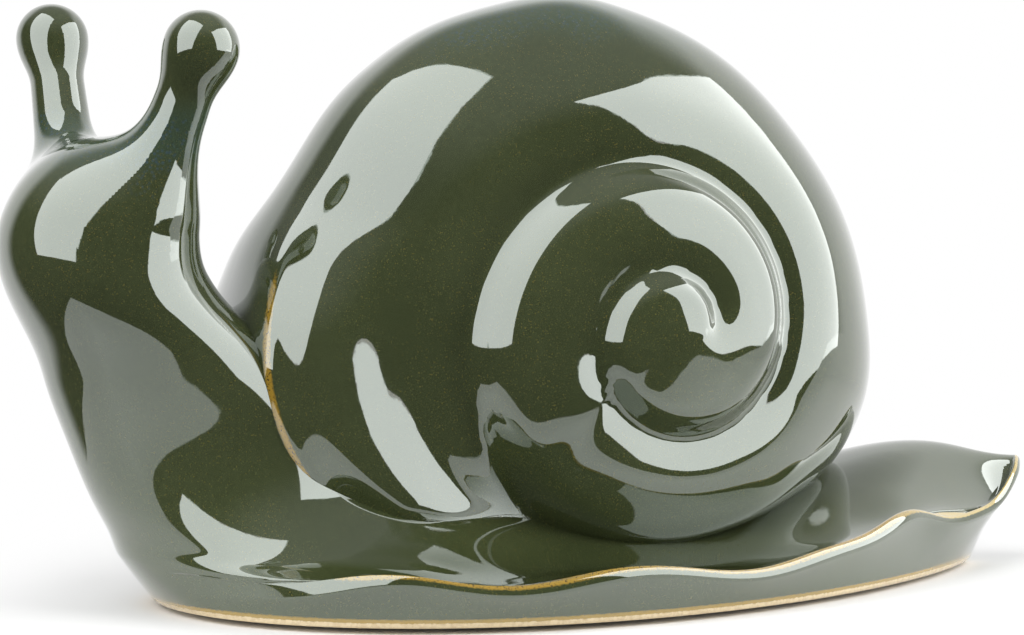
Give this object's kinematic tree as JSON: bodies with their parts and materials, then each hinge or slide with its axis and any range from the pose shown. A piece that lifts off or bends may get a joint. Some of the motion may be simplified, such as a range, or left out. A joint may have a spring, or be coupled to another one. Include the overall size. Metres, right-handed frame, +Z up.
{
  "type": "snail figurine",
  "caption": "Glossy olive-green glazed stoneware snail ornament with a spiral shell, raised head, eye stalks and a wavy-edged foot on anti-slip pads",
  "frame": {"origin": "on the table, under the middle of the object's box", "axes": "X from the head at -X to the tail at +X, the snail's left side faces -Y, Z up"},
  "size_m": [0.288, 0.144, 0.1504],
  "materials": {
    "body_glaze": "gloss",
    "shell_glaze": "gloss",
    "stalk_glaze": "gloss",
    "pad": "matte"
  },
  "bodies": {
    "root": {"body": "body_glaze", "shell": "shell_glaze", "left_eye_stalk": "stalk_glaze", "right_eye_stalk": "stalk_glaze", "pad_front_left": "pad", "pad_front_right": "pad", "pad_rear_left": "pad", "pad_rear_right": "pad"}
  },
  "joints": []
}
